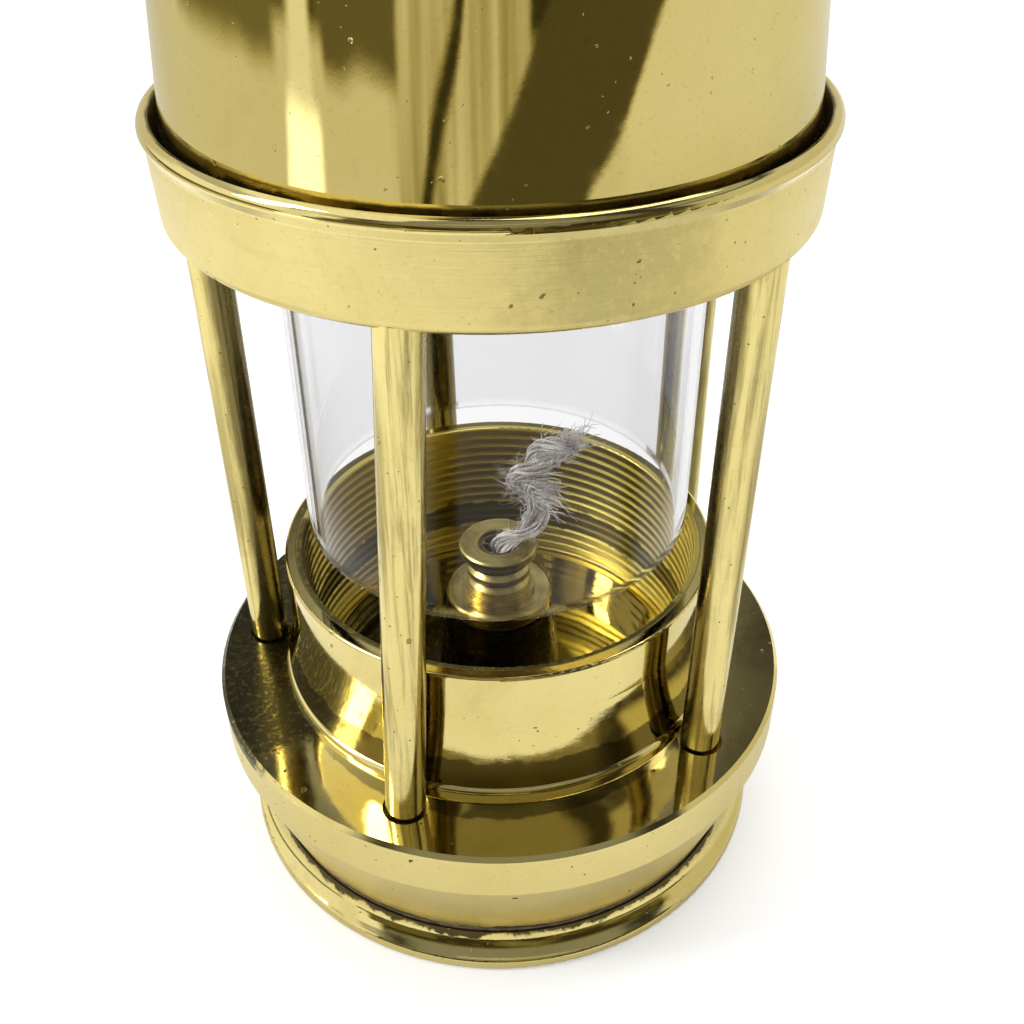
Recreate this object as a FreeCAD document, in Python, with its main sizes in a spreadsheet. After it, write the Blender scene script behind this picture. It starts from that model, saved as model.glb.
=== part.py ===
import FreeCAD, Part
import math
import os
import Sketcher

# Ship lantern of the miner's pattern: a brass font that screws up into a base ring, five
# pillars, a gallery ring that grips the glass, and a tapered bonnet with a hanging eye.
# Millimetres, +Z up, origin at the centre of the foot's underside.

DIMENSIONS = {
    # font: the oil vessel that the lantern stands on
    "foot_radius": 35.7, "foot_edge": 1.7, "foot_round": 0.75, "foot_flare": 5.5,
    "shoulder_radius": 33.4, "shoulder_height": 4.7, "font_sheet": 1.2,
    "neck_radius": 24.9, "neck_wall": 1.0, "neck_top": 21.0,
    "base_plate_bottom": 0.9, "base_plate_sheet": 1.0,
    "font_floor": 16.3, "font_floor_radius": 22.2, "dish_steps": 4, "dish_top_radius": 23.4,
    # screw threads, drawn as rings at their pitch
    "thread_pitch": 1.41, "thread_depth": 0.42, "thread_width": 0.86,
    "neck_thread_start": 8.0, "neck_thread_turns": 8,
    "cup_thread_start": 15.2, "cup_thread_turns": 19,
    # burner
    "boss_radius": 8.8, "boss_top_radius": 7.1, "boss_top": 31.0, "boss_bore": 3.2, "boss_spigot": 5.0,
    "burner_washer_sheet": 0.4, "washer_gap": 0.4, "washer_inset": 0.5, "plug_bevel": 0.3,
    "plug_radius": 7.0, "plug_height": 2.1, "plug_shank": 3.1, "plug_shank_length": 5.6,
    "plug_collar_radius": 4.7, "plug_collar_height": 0.9,
    "sleeve_radius": 4.15, "sleeve_height": 5.2, "sleeve_groove": 0.55,
    "tip_radius": 5.1, "tip_height": 1.4, "tip_bore": 2.65, "tip_bevel": 0.22, "wick_tube_recess": 0.5,
    "wick_tube_radius": 2.3, "wick_tube_wall": 0.4, "wick_tube_bottom": 13.0, "wick_radius": 1.6,
    # base ring, collar cup and what holds them together
    "gasket_sheet": 0.6, "gasket_inset": 0.1, "ring_bottom_radius": 33.2, "ring_bottom_width": 2.0,
    "ring_band_radius": 37.7, "ring_band_bottom": 18.2, "ring_top": 24.5, "ring_plate": 4.0,
    "ring_chamfer": 0.5, "ring_skirt": 2.3, "skirt_rise": 0.6,
    "cup_radius": 27.2, "cup_bore": 25.0, "cup_bottom": 14.2, "cup_top": 42.4, "cup_edge": 0.35,
    "flare_radius": 28.5, "flare_start": 36.0, "flare_sweep": 39.1,
    "bead_radius": 29.0, "bead_height": 1.5, "bead_round": 1.1,
    "lock_radius": 28.4, "lock_height": 1.8,
    # pillars
    "pillar_count": 5, "pillar_circle": 31.75, "pillar_radius": 2.38, "pillar_spigot": 1.7,
    "pillar_sink": 1.8, "pillar_round": 0.6, "pillar_tail": 7.1, "pillar_head": 2.8,
    "sink_radius": 2.75, "spigot_hole": 1.75, "seat_radius": 2.45, "seat_depth": 0.6,
    "head_clearance": 0.1, "nut_radius": 3.2, "nut_height": 2.8, "nut_seat": 0.15, "nut_clearance": 0.2,
    # how far a drill starts or ends outside the metal, so that no skin is left
    "drill_over": 2.0,
    # gallery ring
    "gallery_bottom": 88.2, "gallery_bottom_radius": 34.2, "gallery_top_radius": 34.55,
    "gallery_round": 1.2, "gallery_ledge": 92.4, "gallery_bore": 24.6, "gallery_socket": 33.0,
    "lip_start": 96.9, "lip_widest": 97.7, "lip_radius": 35.0, "lip_top": 98.9,
    "lip_crest_radius": 34.25, "lip_round": 1.1, "lip_inner_radius": 33.75,
    "lip_drop": 0.3,
    # glass and its holder
    "glass_radius": 23.6, "glass_wall": 1.2, "glass_bottom": 47.6, "glass_top": 97.0,
    "glass_edge": 0.4, "sleeve_bottom": 88.8, "sleeve_drop": 0.4, "pad_sheet": 0.6, "pad_inset": 0.2,
    "holder_wall": 1.2, "holder_flange_radius": 28.9, "holder_sheet": 1.0, "holder_lip": 22.6,
    "holder_screw_circle": 27.3, "holder_screw_count": 3, "screw_radius": 1.0, "screw_head_radius": 1.45,
    "screw_head_height": 1.0, "screw_reach": 2.0,
    # bonnet, crown and hanging eye
    "bonnet_bottom": 97.6, "bonnet_top": 142.0, "bonnet_radius": 32.9, "bonnet_top_radius": 29.57,
    "bonnet_wall": 0.8, "bonnet_collar_wall": 1.7, "bonnet_collar_reach": 3.4,
    "bonnet_pad": 1.0, "bonnet_pad_inner": 29.6, "bonnet_pad_gap": 0.4, "bonnet_fit": 0.1,
    "vent_count": 10, "vent_radius": 2.2, "vent_height": 132.5,
    "crown_radius": 30.8, "crown_bottom": 138.0, "crown_sheet": 0.9, "crown_round": 1.2, "crown_inset": 1.0,
    "crown_dome": 58.0, "crown_flat_radius": 7.4, "crown_flat": 150.5,
    "crown_screw_height": 140.2, "crown_screw_count": 3,
    "socket_radius": 6.0, "socket_step": 2.4, "socket_top_radius": 4.2, "socket_top": 156.0,
    "socket_spigot": 4.0, "socket_spigot_length": 2.4, "shank_radius": 2.0, "shank_gap": 0.1,
    "shank_stub": 0.4,
    "eye_collar_radius": 3.5, "eye_collar_height": 1.5, "eye_float": 0.3, "eye_centre": 169.5,
    "eye_radius": 8.5, "eye_nut_radius": 4.2, "eye_nut_height": 1.9,
}

# Degrees about Z from the front (-Y), for the first pillar's foot, and how far round from
# its own foot each pillar's head stands: the hand-drilled rings are not quite in step.
FIRST_PILLAR_ANGLE = -21.0
PILLAR_LEANS = (6.0, 1.5, 1.5, 1.5, 0.0)
CROWN_SCREW_TURN = 30.0

# How far up the burner's sleeve each of its grooves is cut, as a share of its height.
SLEEVE_GROOVES = (0.30, 0.68)

# The wick's route from its frayed tip, over the burner, down its tube and along the font.
WICK_ROUTE = (
    (9.4, 0.0, 57.0), (5.2, 0.3, 54.6), (2.4, 0.4, 50.6), (5.4, 0.0, 46.2), (3.6, -0.2, 42.6),
    (0.0, 0.0, 40.4), (0.12, 0.1, 34.4), (-0.12, -0.1, 27.0), (0.1, 0.1, 19.0), (0.0, 0.0, 11.5),
    (2.8, 0.5, 6.6), (7.6, 1.6, 3.8), (12.9, 3.7, 3.6), (16.9, 7.0, 3.6),
)

doc = FreeCAD.newDocument("ShipLantern")
sheet = doc.addObject("Spreadsheet::Sheet", "Dims")
nodes = {}


class Size:
    """A length with the spreadsheet formula it comes from."""

    def __init__(self, value, text):
        self.value = float(value)
        self.text = text

    def __add__(self, other):
        other = as_size(other)
        return Size(self.value + other.value, "(%s + %s)" % (self.text, other.text))

    def __sub__(self, other):
        other = as_size(other)
        return Size(self.value - other.value, "(%s - %s)" % (self.text, other.text))

    def __mul__(self, factor):
        return Size(self.value * factor, "(%s * %r)" % (self.text, factor))

    def __rmul__(self, factor):
        return self * factor


def as_size(number):
    return number if isinstance(number, Size) else Size(number, "%r mm" % float(number))


def size(alias):
    """The named dimension, as a Size bound to its cell."""
    return Size(float(sheet.get(alias)), "Dims.%s * 1 mm" % alias)


def fill_sheet():
    for row, (alias, value) in enumerate(DIMENSIONS.items(), start=1):
        sheet.set("A%d" % row, alias.replace("_", " "))
        sheet.set("B%d" % row, str(value))
        sheet.setAlias("B%d" % row, alias)
    doc.recompute()


def between(start, end, share):
    """The size a given share of the way from one size to another."""
    return start * (1.0 - share) + end * share


def origin_plane(body, role):
    return next(item for item in body.Origin.OriginFeatures if item.Role == role)


def arc_centre(start, end, radius, side):
    """Centre of the arc between two points, to the left (+1) or right (-1) of the way along."""
    across, along = end[0] - start[0], end[1] - start[1]
    half = math.hypot(across, along) / 2.0
    offset = side * math.sqrt(radius ** 2 - half ** 2) / (2.0 * half)
    return (start[0] + across / 2.0 - along * offset, start[1] + along / 2.0 + across * offset)


def add_arc(sketch, start, end, radius, side):
    """An arc whose ends run from start to end; returns the ids of those two ends."""
    centre = arc_centre(start, end, radius, side)
    circle = Part.Circle(FreeCAD.Vector(*centre, 0), FreeCAD.Vector(0, 0, 1), radius)
    angles = [math.atan2(point[1] - centre[1], point[0] - centre[0]) for point in (start, end)]
    if side < 0:
        angles.reverse()
    edge = sketch.addGeometry(Part.ArcOfCircle(circle, angles[0], angles[1]), False)
    return (edge, 1, 2) if side > 0 else (edge, 2, 1)


def draw_outline(sketch, outline):
    """Closed outline. Each corner is (x, z), or (x, z, radius, side) when an arc leads to it."""
    spots = [(corner[0].value, corner[1].value) for corner in outline]
    edges = []
    for index, corner in enumerate(outline):
        start, end = spots[index - 1], spots[index]
        if len(corner) == 4:
            edges.append(add_arc(sketch, start, end, corner[2].value, corner[3]))
        else:
            line = Part.LineSegment(FreeCAD.Vector(*start, 0), FreeCAD.Vector(*end, 0))
            edges.append((sketch.addGeometry(line, False), 1, 2))
    for index, (edge, _, tail) in enumerate(edges):
        following = edges[(index + 1) % len(edges)]
        sketch.addConstraint(Sketcher.Constraint("Coincident", edge, tail, following[0], following[1]))
    for (edge, _, tail), corner in zip(edges, outline):
        for kind, length in (("DistanceX", corner[0]), ("DistanceY", corner[1])):
            bind_constraint(sketch, Sketcher.Constraint(kind, -1, 1, edge, tail, length.value), length)
        if len(corner) == 4:
            bind_constraint(sketch, Sketcher.Constraint("Radius", edge, corner[2].value), corner[2])


def bind_constraint(sketch, constraint, length):
    number = sketch.addConstraint(constraint)
    sketch.setExpression("Constraints[%d]" % number, length.text)


def new_sketch(body, name, role="XZ_Plane"):
    sketch = body.newObject("Sketcher::SketchObject", name)
    sketch.AttachmentSupport = (origin_plane(body, role), [""])
    sketch.MapMode = "FlatFace"
    return sketch


def circle_edges(shape, spots):
    """Names of the circular edges about Z that have the given radii and heights."""
    found = []
    for number, edge in enumerate(shape.Edges, start=1):
        curve = edge.Curve
        if not isinstance(curve, Part.Circle):
            continue
        for radius, height in spots:
            if abs(curve.Radius - radius.value) < 0.01 and abs(curve.Center.z - height.value) < 0.01:
                found.append("Edge%d" % number)
    return found


def turned(name, outline, rounds=None, bevels=None):
    """A lathe-turned body: the outline is revolved about Z, then edges are eased.

    rounds and bevels are each (size, [(radius, height), ...])."""
    body = doc.addObject("PartDesign::Body", name)
    sketch = new_sketch(body, name + "_outline")
    draw_outline(sketch, outline)
    turn = body.newObject("PartDesign::Revolution", name + "_turn")
    turn.Profile = sketch
    turn.ReferenceAxis = (sketch, ["V_Axis"])
    turn.Angle = 360.0
    doc.recompute()
    for kind, easing in (("Fillet", rounds), ("Chamfer", bevels)):
        if easing:
            ease_edges(body, name, kind, *easing)
    body.Label = name
    return body


def ease_edges(body, name, kind, amount, spots):
    base = body.Tip
    eased = body.newObject("PartDesign::" + kind, "%s_%s" % (name, kind.lower()))
    eased.Base = (base, circle_edges(base.Shape, spots))
    eased.setExpression("Radius" if kind == "Fillet" else "Size", amount.text)
    base.Visibility = False
    body.Tip = eased
    doc.recompute()


def ringed(body, name, surface, start, depth, turns_alias):
    """Cut thread rings into a turned body at a radius; depth is signed, outward from the axis."""
    solid_volume = body.Shape.Volume
    width = size("thread_width")
    sketch = new_sketch(body, name + "_thread_outline")
    clear = surface - depth * 0.4
    draw_outline(sketch, [(clear, start), (surface + depth, start + width * 0.5), (clear, start + width)])
    groove = body.newObject("PartDesign::Groove", name + "_thread")
    groove.Profile = sketch
    groove.ReferenceAxis = (sketch, ["V_Axis"])
    groove.Angle = 360.0
    doc.recompute()
    pattern = body.newObject("PartDesign::LinearPattern", name + "_thread_rings")
    pattern.Originals = [groove]
    pattern.Direction = (sketch, ["V_Axis"])
    pattern.setExpression("Occurrences", "Dims.%s" % turns_alias)
    pattern.setExpression("Length", "Dims.thread_pitch * (Dims.%s - 1) * 1 mm" % turns_alias)
    body.Tip = pattern
    doc.recompute()
    if body.Shape.Volume >= solid_volume:
        raise RuntimeError(name + ": its thread rings cut nothing")
    return body


def cylinder(name, radius, length, placement=FreeCAD.Placement()):
    solid = doc.addObject("Part::Cylinder", name)
    solid.setExpression("Radius", radius.text)
    solid.setExpression("Height", length.text)
    solid.Placement = placement
    return solid


def raised(height):
    return FreeCAD.Placement(FreeCAD.Vector(0, 0, height.value), FreeCAD.Rotation())


def joined(name, pieces):
    union = doc.addObject("Part::MultiFuse", name)
    union.Shapes = pieces
    return union


def cut_from(name, base, tools):
    """base with the tools taken out; a cut that removes nothing is an error."""
    cut = doc.addObject("Part::Cut", name)
    cut.Base = base
    cut.Tool = joined(name + "_tools", tools) if len(tools) > 1 else tools[0]
    doc.recompute()
    if cut.Shape.Volume > base.Shape.Volume - 0.01:
        raise RuntimeError(name + ": the cut removed nothing")
    return cut


def grouped(name, pieces):
    group = doc.addObject("Part::Compound", name)
    group.Links = pieces
    return group


def keep(label, piece):
    """Register a finished sub-part under the name of its node."""
    piece.Label = label
    nodes[label] = piece
    return piece


def ring(name, inner, outer, bottom, top, **easing):
    """A plain washer or tube between two radii and two heights."""
    return turned(name, [(inner, bottom), (outer, bottom), (outer, top), (inner, top)], **easing)


# ---------------------------------------------------------------- font

def make_font():
    foot, shoulder, neck = size("foot_radius"), size("shoulder_radius"), size("neck_radius")
    shelf, sheet_gauge = size("shoulder_height"), size("font_sheet")
    inside = shoulder - sheet_gauge
    under = shelf - sheet_gauge
    top, bore = size("neck_top"), neck - size("neck_wall")
    edge, floor = size("foot_edge"), as_size(0)
    outline = [
        (inside, floor), (foot, floor), (foot, edge), (shoulder, shelf, size("foot_flare"), -1),
        (neck, shelf), (neck, top), (bore, top), (bore, under), (inside, under),
    ]
    shell = turned("font_shell", outline, rounds=(size("foot_round"), [(foot, floor), (foot, edge)]))
    ringed(shell, "font_shell", neck, size("neck_thread_start"), size("thread_depth") * -1.0,
           "neck_thread_turns")
    keep("font_shell", shell)

    bottom = size("base_plate_bottom")
    plate_top = bottom + size("base_plate_sheet")
    centre = as_size(0)
    keep("font_base_plate", turned("font_base_plate", [
        (centre, bottom), (inside, bottom), (inside, plate_top), (centre, plate_top)]))
    keep("font_top_plate", make_dish(bore, top))


def make_dish(outer, rim):
    """The font's dished top: a flat floor inside a wall of shallow steps."""
    floor, foot = size("font_floor"), size("font_floor_radius")
    upper, steps = size("dish_top_radius"), int(sheet.get("dish_steps"))
    underside = floor - size("base_plate_sheet")
    hole = size("boss_spigot")
    outline = [(hole, underside), (outer, underside), (outer, rim)]
    for step in range(steps):
        radius = between(upper, foot, step / (steps - 1.0))
        outline.append((radius, between(rim, floor, step / float(steps))))
        outline.append((radius, between(rim, floor, (step + 1.0) / steps)))
    outline.append((hole, floor))
    return turned("font_top_plate", outline)


# ---------------------------------------------------------------- burner

def make_burner():
    floor, top, bore = size("font_floor"), size("boss_top"), size("boss_bore")
    spigot, sheet_gauge = size("boss_spigot"), size("base_plate_sheet")
    keep("burner_boss", turned("burner_boss", [
        (bore, floor - sheet_gauge), (spigot, floor - sheet_gauge), (spigot, floor),
        (size("boss_radius"), floor), (size("boss_top_radius"), top), (bore, top)]))

    seat = top + size("burner_washer_sheet")
    keep("burner_washer", ring("burner_washer", size("plug_shank") + size("washer_gap"),
                               size("plug_radius") - size("washer_inset"), top, seat))

    tube = size("wick_tube_radius")
    plug, plug_top = size("plug_radius"), seat + size("plug_height")
    collar, collar_top = size("plug_collar_radius"), plug_top + size("plug_collar_height")
    shank, shank_end = size("plug_shank"), seat - size("plug_shank_length")
    keep("burner_plug", turned("burner_plug", [
        (tube, shank_end), (shank, shank_end), (shank, seat), (plug, seat), (plug, plug_top),
        (collar, plug_top), (collar, collar_top), (tube, collar_top)],
        bevels=(size("plug_bevel"), [(plug, plug_top), (plug, seat)])))

    sleeve, groove = size("sleeve_radius"), size("sleeve_groove")
    sleeve_top = collar_top + size("sleeve_height")
    outline = [(tube, collar_top), (sleeve, collar_top)]
    for share in SLEEVE_GROOVES:
        middle = between(collar_top, sleeve_top, share)
        outline += [(sleeve, middle - groove), (sleeve - groove, middle), (sleeve, middle + groove)]
    outline += [(sleeve, sleeve_top), (tube, sleeve_top)]
    keep("burner_sleeve", turned("burner_sleeve", outline))

    tip, tip_top = size("tip_radius"), sleeve_top + size("tip_height")
    hole = size("tip_bore")
    edges = [(tip, tip_top), (tip, sleeve_top), (hole, tip_top)]
    keep("burner_tip", ring("burner_tip", hole, tip, sleeve_top, tip_top,
                            bevels=(size("tip_bevel"), edges)))
    keep("wick_tube", ring("wick_tube", tube - size("wick_tube_wall"), tube,
                           size("wick_tube_bottom"), tip_top - size("wick_tube_recess")))


def bend_path(route):
    """Straight runs joined by tangent arcs, each arc 0.45 of its shorter run."""
    points = [FreeCAD.Vector(*spot) for spot in route]
    edges, radii, start = [], [], points[0]
    for before, corner, after in zip(points, points[1:], points[2:]):
        back, ahead = before - corner, after - corner
        reach = 0.45 * min(back.Length, ahead.Length)
        half_turn = (math.pi - back.getAngle(ahead)) / 2.0
        radii.append(reach / math.tan(half_turn))
        back.normalize()
        ahead.normalize()
        leave, arrive = corner + back * reach, corner + ahead * reach
        inward = back + ahead
        inward.normalize()
        middle = corner + inward * (radii[-1] / math.cos(half_turn) - radii[-1])
        edges.append(Part.LineSegment(start, leave).toShape())
        edges.append(Part.Arc(leave, middle, arrive).toShape())
        start = arrive
    edges.append(Part.LineSegment(start, points[-1]).toShape())
    return Part.Wire(edges), radii


def make_wick():
    radius = size("wick_radius").value
    path, radii = bend_path(WICK_ROUTE)
    heading = path.Edges[0].tangentAt(path.Edges[0].FirstParameter)
    section = Part.Wire([Part.makeCircle(radius, path.Edges[0].Vertexes[0].Point, heading)])
    cord = doc.addObject("Part::Feature", "wick")
    cord.Shape = path.makePipeShell([section], True, False)
    expected = math.pi * radius ** 2 * path.Length
    print("wick: length %.1f mm, volume %.1f of %.1f mm3, arc radii %s" % (
        path.Length, cord.Shape.Volume, expected, ["%.1f" % bend for bend in radii]))
    keep("wick", cord)


# ---------------------------------------------------------------- pillars

def pillar_placement(number):
    """Where a pillar stands, its own Z running from its foot to its head, and that distance."""
    circle = sheet.get("pillar_circle")
    foot_turn = math.radians(FIRST_PILLAR_ANGLE + number * 360.0 / sheet.get("pillar_count"))
    head_turn = foot_turn + math.radians(PILLAR_LEANS[number])
    foot = FreeCAD.Vector(circle * math.sin(foot_turn), -circle * math.cos(foot_turn), sheet.get("ring_top"))
    head = FreeCAD.Vector(circle * math.sin(head_turn), -circle * math.cos(head_turn),
                          sheet.get("gallery_bottom"))
    upright = FreeCAD.Rotation(FreeCAD.Vector(0, 0, 1), head - foot)
    return FreeCAD.Placement(foot, upright), (head - foot).Length


def pillar_numbers():
    return range(int(sheet.get("pillar_count")))


def make_pillars():
    shaft, spigot = size("pillar_radius"), size("pillar_spigot")
    sink, centre = size("pillar_sink") * -1.0, as_size(0)
    tail = size("pillar_tail") * -1.0
    nuts = []
    for number in pillar_numbers():
        placement, length = pillar_placement(number)
        name = "pillar_%d" % (number + 1)
        shoulder = as_size(length) + size("seat_depth")
        head = shoulder + size("pillar_head")
        pillar = turned(name, [
            (centre, tail), (spigot, tail), (spigot, sink), (shaft, sink), (shaft, shoulder),
            (spigot, shoulder), (spigot, head), (centre, head)],
            rounds=(size("pillar_round"), [(shaft, sink)]))
        pillar.Placement = placement
        keep(name, pillar)
        nuts.append(make_pillar_nut(number, placement))
    keep("pillar_nuts", grouped("pillar_nuts", nuts))


def make_pillar_nut(number, placement):
    """A hexagon nut on the pillar's tail, under the base ring's plate."""
    low = size("ring_plate") * -1.0 + size("nut_seat") - size("nut_height")
    blank = doc.addObject("Part::Prism", "nut_blank_%d" % number)
    blank.Polygon = 6
    blank.setExpression("Circumradius", size("nut_radius").text)
    blank.setExpression("Height", size("nut_height").text)
    blank.Placement = placement * raised(low)
    bore = cylinder("nut_bore_%d" % number, size("pillar_spigot"), size("nut_height"),
                    placement * raised(low))
    return cut_from("nut_%d" % number, blank, [bore])


def base_drills():
    """Per pillar: a sink for its foot, a hole for its tail and a flat for its nut."""
    reach, over = size("ring_plate"), size("drill_over")
    drills = []
    for number in pillar_numbers():
        placement, _ = pillar_placement(number)
        sink = size("pillar_sink") * -1.0
        tail = size("pillar_tail") * -1.0 - over
        flat = size("ring_plate") * -1.0 + size("nut_seat")
        drills += [
            cylinder("sink_%d" % number, size("sink_radius"), reach, placement * raised(sink)),
            cylinder("tail_hole_%d" % number, size("spigot_hole"), sink - tail + over,
                     placement * raised(tail)),
            cylinder("nut_flat_%d" % number, size("nut_radius") + size("nut_clearance"), reach,
                     placement * raised(flat - reach)),
        ]
    return drills


def gallery_drills():
    """Per pillar: a shallow seat for its shoulder and a blind hole for its head."""
    drills = []
    for number in pillar_numbers():
        placement, length = pillar_placement(number)
        seat = as_size(length) + size("seat_depth")
        reach = size("drill_over")
        hole_depth = size("pillar_head") + size("head_clearance")
        drills += [
            cylinder("seat_%d" % number, size("seat_radius"), reach, placement * raised(seat - reach)),
            cylinder("head_hole_%d" % number, size("spigot_hole"), hole_depth + reach,
                     placement * raised(seat - reach)),
        ]
    return drills


# ---------------------------------------------------------------- base ring and cup

def make_base():
    """The turned base ring with its gasket, and the cup that flares out over the bead at its foot."""
    low = size("shoulder_height") + size("gasket_sheet")
    outer_low = size("ring_bottom_radius")
    inner_low = outer_low - size("ring_bottom_width")
    inset = size("gasket_inset")
    keep("font_gasket", ring("font_gasket", inner_low + inset, outer_low - inset,
                             size("shoulder_height"), low))

    cup, band, top = size("cup_radius"), size("ring_band_radius"), size("ring_top")
    under, band_low = top - size("ring_plate"), size("ring_band_bottom")
    skirt = band - size("ring_skirt")
    blank = turned("base_ring_blank", [
        (cup, under), (skirt, under), (skirt, band_low - size("skirt_rise")), (inner_low, low),
        (outer_low, low), (band, band_low), (band, top), (cup, top)],
        bevels=(size("ring_chamfer"), [(band, top)]))
    keep("base_ring", cut_from("base_ring_cut", blank, base_drills()))

    bore, cup_low, cup_top = size("cup_bore"), size("cup_bottom"), size("cup_top")
    bead, bead_top = size("bead_radius"), top + size("bead_height")
    collar = turned("collar_cup", [
        (bore, cup_low), (cup, cup_low), (cup, bead_top), (size("flare_radius"), bead_top),
        (cup, size("flare_start"), size("flare_sweep"), -1), (cup, cup_top), (bore, cup_top)],
        rounds=(size("cup_edge"), [(bore, cup_top), (cup, cup_top)]))
    ringed(collar, "collar_cup", bore, size("cup_thread_start"), size("thread_depth"), "cup_thread_turns")
    keep("collar_cup", collar)

    keep("collar_bead", ring("collar_bead", cup, bead, top, bead_top,
                             rounds=(size("bead_round"), [(bead, bead_top)])))
    keep("collar_lock_ring", ring("collar_lock_ring", cup, size("lock_radius"),
                                  under - size("lock_height"), under))


# ---------------------------------------------------------------- gallery ring, glass and holder

def make_gallery():
    low, ledge, bore = size("gallery_bottom"), size("gallery_ledge"), size("gallery_bore")
    outer_low, socket, start = size("gallery_bottom_radius"), size("gallery_socket"), size("lip_start")
    outline = [
        (bore, low), (outer_low, low), (size("gallery_top_radius"), start),
        (size("lip_radius"), size("lip_widest")),
        (size("lip_crest_radius"), size("lip_top"), size("lip_round"), 1),
        (size("lip_inner_radius"), size("lip_top") - size("lip_drop")), (socket, start),
        (socket, ledge), (bore, ledge),
    ]
    blank = turned("gallery_blank", outline, rounds=(size("gallery_round"), [(outer_low, low)]))
    reach = size("screw_reach")
    depth = reach + size("drill_over")
    screw_holes = [cylinder("ledge_hole_%d" % number, size("screw_radius"), depth, place)
                   for number, place in enumerate(holder_screw_placements(ledge - reach))]
    keep("gallery_ring", cut_from("gallery_ring_cut", blank, gallery_drills() + screw_holes))


def holder_screw_placements(height):
    """Places round the holder's flange, evenly spaced."""
    circle, count = sheet.get("holder_screw_circle"), int(sheet.get("holder_screw_count"))
    for number in range(count):
        angle = 2.0 * math.pi * number / count
        spot = FreeCAD.Vector(circle * math.cos(angle), circle * math.sin(angle), height.value)
        yield FreeCAD.Placement(spot, FreeCAD.Rotation())


def make_glass():
    outer, low, top = size("glass_radius"), size("glass_bottom"), size("glass_top")
    inner = outer - size("glass_wall")
    edges = [(inner, low), (outer, low), (inner, top), (outer, top)]
    keep("glass", ring("glass", inner, outer, low, top, rounds=(size("glass_edge"), edges)))
    bore = size("gallery_bore")
    keep("glass_sleeve", ring("glass_sleeve", outer, bore, size("sleeve_bottom"), top - size("sleeve_drop")))
    pad_top = top + size("pad_sheet")
    keep("glass_pad", ring("glass_pad", inner + size("pad_inset"), bore, top, pad_top))

    ledge, flange, gauge = size("gallery_ledge"), size("holder_flange_radius"), size("holder_sheet")
    wall, lip = bore + size("holder_wall"), size("holder_lip")
    blank = turned("holder_blank", [
        (bore, ledge), (flange, ledge), (flange, ledge + gauge), (wall, ledge + gauge),
        (wall, pad_top + gauge), (lip, pad_top + gauge), (lip, pad_top), (bore, pad_top)])
    holes = [cylinder("flange_hole_%d" % number, size("screw_radius"), gauge * 3.0, place)
             for number, place in enumerate(holder_screw_placements(ledge - gauge))]
    keep("glass_holder", cut_from("glass_holder_cut", blank, holes))

    screws = []
    for number, place in enumerate(holder_screw_placements(ledge - size("screw_reach"))):
        shank_length = size("screw_reach") + gauge
        shank = cylinder("screw_shank_%d" % number, size("screw_radius"), shank_length, place)
        head = cylinder("screw_head_%d" % number, size("screw_head_radius"), size("screw_head_height"),
                        place * raised(shank_length))
        screws.append(joined("screw_%d" % number, [shank, head]))
    keep("holder_screws", grouped("holder_screws", screws))


# ---------------------------------------------------------------- bonnet, crown and eye

def bonnet_radius_at(height):
    """Outside radius of the tapered bonnet at a height."""
    low, top = size("bonnet_bottom"), size("bonnet_top")
    share = (height.value - low.value) / (top.value - low.value)
    return between(size("bonnet_radius"), size("bonnet_top_radius"), share)


def crown_screw_placements():
    """Radial places in the crown's skirt, each with its own Z pointing outward."""
    count = int(sheet.get("crown_screw_count"))
    centre = FreeCAD.Vector(0, 0, sheet.get("crown_screw_height"))
    for number in range(count):
        turn = FreeCAD.Rotation(FreeCAD.Vector(0, 0, 1), CROWN_SCREW_TURN + 360.0 * number / count)
        outward = FreeCAD.Rotation(FreeCAD.Vector(0, 1, 0), 90.0)
        yield FreeCAD.Placement(centre, turn * outward)


def make_bonnet():
    wall, low, top = size("bonnet_wall"), size("bonnet_bottom"), size("bonnet_top")
    blank = turned("bonnet_blank", [
        (bonnet_radius_at(low) - wall, low), (bonnet_radius_at(low), low),
        (bonnet_radius_at(top), top), (bonnet_radius_at(top) - wall, top)])
    tools = []
    vents = int(sheet.get("vent_count"))
    across = size("bonnet_radius") + size("drill_over")
    for number in range(vents):
        turn = FreeCAD.Rotation(FreeCAD.Vector(0, 0, 1), 360.0 * (number + 0.5) / vents)
        outward = turn * FreeCAD.Rotation(FreeCAD.Vector(0, 1, 0), 90.0)
        place = FreeCAD.Placement(FreeCAD.Vector(0, 0, sheet.get("vent_height")), outward)
        tools.append(cylinder("vent_%d" % number, size("vent_radius"), across, place))
    for number, place in enumerate(crown_screw_placements()):
        tools.append(cylinder("bonnet_screw_hole_%d" % number, size("screw_radius"), across, place))
    keep("bonnet_shell", cut_from("bonnet_shell_cut", blank, tools))

    ledge, pad = size("gallery_ledge"), size("bonnet_pad")
    pad_outer = size("gallery_socket") - size("bonnet_pad_gap")
    keep("bonnet_pad", ring("bonnet_pad", size("bonnet_pad_inner"), pad_outer, ledge, ledge + pad))
    collar_outer = size("gallery_socket") - size("bonnet_fit")
    collar_inner = collar_outer - size("bonnet_collar_wall")
    reach = low + size("bonnet_collar_reach")
    keep("bonnet_collar", turned("bonnet_collar", [
        (collar_inner, ledge + pad), (collar_outer, ledge + pad), (collar_outer, low),
        (bonnet_radius_at(low) - wall, low), (bonnet_radius_at(reach) - wall, reach),
        (collar_inner, reach)]))


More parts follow.
